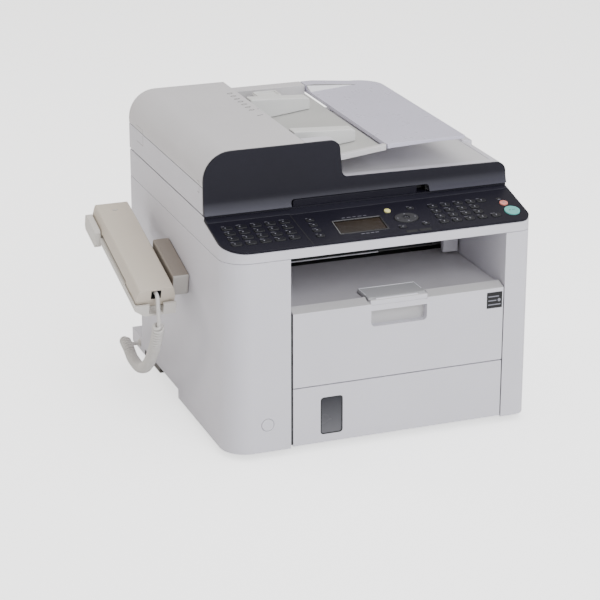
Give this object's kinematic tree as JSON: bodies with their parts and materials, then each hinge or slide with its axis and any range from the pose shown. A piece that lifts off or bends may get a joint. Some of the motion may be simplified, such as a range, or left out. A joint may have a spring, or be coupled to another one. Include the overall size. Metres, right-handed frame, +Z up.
{
  "type": "laser fax machine",
  "caption": "Desktop laser fax machine with document feeder, sloping control panel, paper drawer, output bay and a corded handset on its left side.",
  "frame": {"origin": "on the desk, under the middle of the machine's outline with its handset and rear housing", "axes": "+X to the machine's right as seen from its front, +Y to its back, +Z up"},
  "size_m": [0.47, 0.4074, 0.36],
  "materials": {
    "left_side_cover": "fine-grained moulding",
    "right_side_cover": "fine-grained moulding",
    "power_button": "fine-grained moulding",
    "rear_panel": "fine-grained moulding",
    "rear_cover": "fine-grained moulding",
    "paper_cassette": "fine-grained moulding",
    "front_door": "fine-grained moulding",
    "toner_cover": "fine-grained moulding",
    "paper_stopper": "fine-grained moulding",
    "scanner_housing": "fine-grained moulding",
    "lid_base": "fine-grained moulding",
    "adf_cover": "fine-grained moulding",
    "input_tray": "fine-grained moulding",
    "front_guide": "fine-grained moulding",
    "rear_guide": "fine-grained moulding",
    "control_panel": "satin moulding",
    "platen_frame": "satin moulding",
    "lid_fascia": "satin moulding",
    "one_touch_keys": "soft-touch keys",
    "function_keys": "soft-touch keys",
    "number_keys": "soft-touch keys",
    "navigation_keys": "soft-touch keys",
    "ok_key": "soft-touch keys",
    "energy_key": "key cap",
    "stop_button": "key cap",
    "start_button": "key cap",
    "lcd_screen": "liquid-crystal window",
    "cassette_window": "smoked, see-through",
    "platen_glass": "clear",
    "tray_extension": "translucent moulding",
    "base_frame": "unpainted moulding",
    "upper_deck": "unpainted moulding",
    "laser_unit": "unpainted moulding",
    "toner_cartridge": "unpainted moulding",
    "fuser_housing": "unpainted moulding",
    "scan_carriage": "unpainted moulding",
    "hook_switch": "unpainted moulding",
    "foot_front_left": "matt",
    "foot_front_right": "matt",
    "foot_rear_left": "matt",
    "foot_rear_right": "matt",
    "pressure_roller": "matt",
    "pickup_roller": "matt",
    "exit_roller": "matt",
    "adf_feed_roller": "matt",
    "adf_pickup_roller": "matt",
    "cassette_lift_plate": "plain",
    "fixing_roller": "plain",
    "motor_pinion": "plain",
    "drive_motor": "plain",
    "power_supply": "plain",
    "carriage_rod": "plain",
    "drive_gear": "moulded gear",
    "drum": "coated drum",
    "main_board": "circuit board",
    "handset": "satin moulding",
    "handset_bracket": "satin moulding",
    "platen_pad": "satin moulding",
    "handset_cradle": "satin moulding",
    "coiled_cord": "flexible sheath"
  },
  "bodies": {
    "machine": {"base_frame": "base_frame", "left_side_cover": "left_side_cover", "right_side_cover": "right_side_cover", "rear_panel": "rear_panel", "upper_deck": "upper_deck", "foot_front_left": "foot_front_left", "foot_front_right": "foot_front_right", "foot_rear_left": "foot_rear_left", "foot_rear_right": "foot_rear_right", "laser_unit": "laser_unit", "fuser_housing": "fuser_housing", "main_board": "main_board", "power_supply": "power_supply", "drive_motor": "drive_motor", "handset_bracket": "handset_bracket", "handset_cradle": "handset_cradle", "coiled_cord": "coiled_cord", "toner_cartridge": "toner_cartridge"},
    "cassette": {"paper_cassette": "paper_cassette", "cassette_window": "cassette_window"},
    "lift_plate": {"cassette_lift_plate": "cassette_lift_plate"},
    "door": {"front_door": "front_door"},
    "toner_hatch": {"toner_cover": "toner_cover"},
    "stopper": {"paper_stopper": "paper_stopper"},
    "rear_hatch": {"rear_cover": "rear_cover"},
    "power_key": {"power_button": "power_button"},
    "receiver": {"handset": "handset"},
    "hook": {"hook_switch": "hook_switch"},
    "main_gear": {"drive_gear": "drive_gear"},
    "pinion": {"motor_pinion": "motor_pinion"},
    "drum_body": {"drum": "drum"},
    "pickup": {"pickup_roller": "pickup_roller"},
    "exit": {"exit_roller": "exit_roller"},
    "fixing": {"fixing_roller": "fixing_roller"},
    "pressure": {"pressure_roller": "pressure_roller"},
    "scanner": {"scanner_housing": "scanner_housing", "platen_frame": "platen_frame", "platen_glass": "platen_glass", "carriage_rod": "carriage_rod", "control_panel": "control_panel", "lcd_screen": "lcd_screen"},
    "carriage": {"scan_carriage": "scan_carriage"},
    "one_touch": {"one_touch_keys": "one_touch_keys"},
    "function": {"function_keys": "function_keys"},
    "numbers": {"number_keys": "number_keys"},
    "navigation": {"navigation_keys": "navigation_keys"},
    "ok": {"ok_key": "ok_key"},
    "energy": {"energy_key": "energy_key"},
    "stop": {"stop_button": "stop_button"},
    "start": {"start_button": "start_button"},
    "lid": {"lid_base": "lid_base", "lid_fascia": "lid_fascia", "platen_pad": "platen_pad", "input_tray": "input_tray"},
    "feeder_cover": {"adf_cover": "adf_cover"},
    "extension": {"tray_extension": "tray_extension"},
    "guide_rear": {"rear_guide": "rear_guide"},
    "guide_front": {"front_guide": "front_guide"},
    "feed": {"adf_feed_roller": "adf_feed_roller"},
    "separator": {"adf_pickup_roller": "adf_pickup_roller"}
  },
  "joints": [
    {"name": "cassette_slide", "type": "slide", "parent": "machine", "child": "cassette", "axis": [0, -1, 0], "range_m": [0, 0.22]},
    {"name": "lift_plate_hinge", "type": "hinge", "parent": "cassette", "child": "lift_plate", "pos_m": [0.04, 0.10775, 0.0178], "axis": [-1, 0, 0], "range_deg": [0, 7]},
    {"name": "door_hinge", "type": "hinge", "parent": "machine", "child": "door", "pos_m": [0.04, -0.20025, 0.0879], "axis": [1, 0, 0], "range_deg": [0, 88]},
    {"name": "toner_hatch_hinge", "type": "hinge", "parent": "machine", "child": "toner_hatch", "pos_m": [0.04, -0.04525, 0.1755], "axis": [-1, 0, 0], "range_deg": [0, 20]},
    {"name": "stopper_hinge", "type": "hinge", "parent": "toner_hatch", "child": "stopper", "pos_m": [0.04, -0.19375, 0.1805], "axis": [1, 0, 0], "range_deg": [0, 110]},
    {"name": "rear_hatch_hinge", "type": "hinge", "parent": "machine", "child": "rear_hatch", "pos_m": [0.04, 0.1472, 0.072], "axis": [-1, 0, 0], "range_deg": [0, 80]},
    {"name": "power_travel", "type": "slide", "parent": "machine", "child": "power_key", "axis": [0, 1, 0], "range_m": [0, 0.001]},
    {"name": "handset_lift", "type": "slide", "parent": "machine", "child": "receiver", "axis": [0, -0.2571, 0.9664], "range_m": [0, 0.04]},
    {"name": "hook_travel", "type": "slide", "parent": "machine", "child": "hook", "axis": [0, -0.2571, 0.9664], "range_m": [0, 0.002]},
    {"name": "main_gear_spin", "type": "hinge", "parent": "machine", "child": "main_gear", "pos_m": [0.04, 0.04975, 0.1], "axis": [1, 0, 0], "continuous": true},
    {"name": "pinion_spin", "type": "hinge", "parent": "machine", "child": "pinion", "pos_m": [0.04, 0.08575, 0.1], "axis": [1, 0, 0], "continuous": true},
    {"name": "drum_spin", "type": "hinge", "parent": "machine", "child": "drum_body", "pos_m": [0.04, -0.07225, 0.1035], "axis": [1, 0, 0], "continuous": true},
    {"name": "pickup_spin", "type": "hinge", "parent": "machine", "child": "pickup", "pos_m": [0.04, -0.16025, 0.078], "axis": [1, 0, 0], "continuous": true},
    {"name": "exit_spin", "type": "hinge", "parent": "machine", "child": "exit", "pos_m": [0.04, -0.02425, 0.197], "axis": [1, 0, 0], "continuous": true},
    {"name": "fixing_spin", "type": "hinge", "parent": "machine", "child": "fixing", "pos_m": [0.04, 0.10725, 0.14], "axis": [1, 0, 0], "continuous": true},
    {"name": "pressure_spin", "type": "hinge", "parent": "machine", "child": "pressure", "pos_m": [0.04, 0.12725, 0.1295], "axis": [1, 0, 0], "continuous": true},
    {"name": "scanner_hinge", "type": "hinge", "parent": "machine", "child": "scanner", "pos_m": [0.04, 0.18275, 0.247], "axis": [-1, 0, 0], "range_deg": [0, 25]},
    {"name": "carriage_travel", "type": "slide", "parent": "scanner", "child": "carriage", "axis": [1, 0, 0], "range_m": [0, 0.3]},
    {"name": "one_touch_travel", "type": "slide", "parent": "scanner", "child": "one_touch", "axis": [0, 0.2311, -0.9729], "range_m": [0, 0.0008]},
    {"name": "function_travel", "type": "slide", "parent": "scanner", "child": "function", "axis": [0, 0.2311, -0.9729], "range_m": [0, 0.0008]},
    {"name": "numbers_travel", "type": "slide", "parent": "scanner", "child": "numbers", "axis": [0, 0.2311, -0.9729], "range_m": [0, 0.0008]},
    {"name": "navigation_travel", "type": "slide", "parent": "scanner", "child": "navigation", "axis": [0, 0.2311, -0.9729], "range_m": [0, 0.0008]},
    {"name": "ok_travel", "type": "slide", "parent": "scanner", "child": "ok", "axis": [0, 0.2311, -0.9729], "range_m": [0, 0.0008]},
    {"name": "energy_travel", "type": "slide", "parent": "scanner", "child": "energy", "axis": [0, 0.2311, -0.9729], "range_m": [0, 0.0008]},
    {"name": "stop_travel", "type": "slide", "parent": "scanner", "child": "stop", "axis": [0, 0.2311, -0.9729], "range_m": [0, 0.0008]},
    {"name": "start_travel", "type": "slide", "parent": "scanner", "child": "start", "axis": [0, 0.2311, -0.9729], "range_m": [0, 0.0008]},
    {"name": "lid_hinge", "type": "hinge", "parent": "scanner", "child": "lid", "pos_m": [0.04, 0.18275, 0.285], "axis": [-1, 0, 0], "range_deg": [0, 70]},
    {"name": "feeder_cover_hinge", "type": "hinge", "parent": "lid", "child": "feeder_cover", "pos_m": [-0.153, -0.01025, 0.3204], "axis": [0, -1, 0], "range_deg": [0, 75]},
    {"name": "extension_hinge", "type": "hinge", "parent": "lid", "child": "extension", "pos_m": [0.08, -0.01025, 0.351], "axis": [0, -1, 0], "range_deg": [0, 150]},
    {"name": "guide_rear_travel", "type": "slide", "parent": "lid", "child": "guide_rear", "axis": [0, 1, 0], "range_m": [-0.005, 0.036]},
    {"name": "guide_front_travel", "type": "slide", "parent": "lid", "child": "guide_front", "axis": [0, -1, 0], "range_m": [-0.005, 0.036]},
    {"name": "feed_spin", "type": "hinge", "parent": "lid", "child": "feed", "pos_m": [-0.082, -0.01025, 0.337], "axis": [0, 1, 0], "continuous": true},
    {"name": "separator_spin", "type": "hinge", "parent": "lid", "child": "separator", "pos_m": [-0.044, -0.01025, 0.3395], "axis": [0, 1, 0], "continuous": true}
  ],
  "couplings": [
    {"joint": "toner_hatch_hinge", "follows": "scanner_hinge", "ratio": 0.8},
    {"joint": "hook_travel", "follows": "handset_lift", "ratio": 0.05},
    {"joint": "pinion_spin", "follows": "main_gear_spin", "ratio": -5},
    {"joint": "drum_spin", "follows": "main_gear_spin", "ratio": -2.5},
    {"joint": "pickup_spin", "follows": "main_gear_spin", "ratio": -1.5},
    {"joint": "exit_spin", "follows": "main_gear_spin", "ratio": 3.5},
    {"joint": "fixing_spin", "follows": "main_gear_spin", "ratio": 2.5},
    {"joint": "pressure_spin", "follows": "main_gear_spin", "ratio": -2.5},
    {"joint": "guide_front_travel", "follows": "guide_rear_travel", "ratio": 1},
    {"joint": "separator_spin", "follows": "feed_spin", "ratio": 1.25}
  ]
}
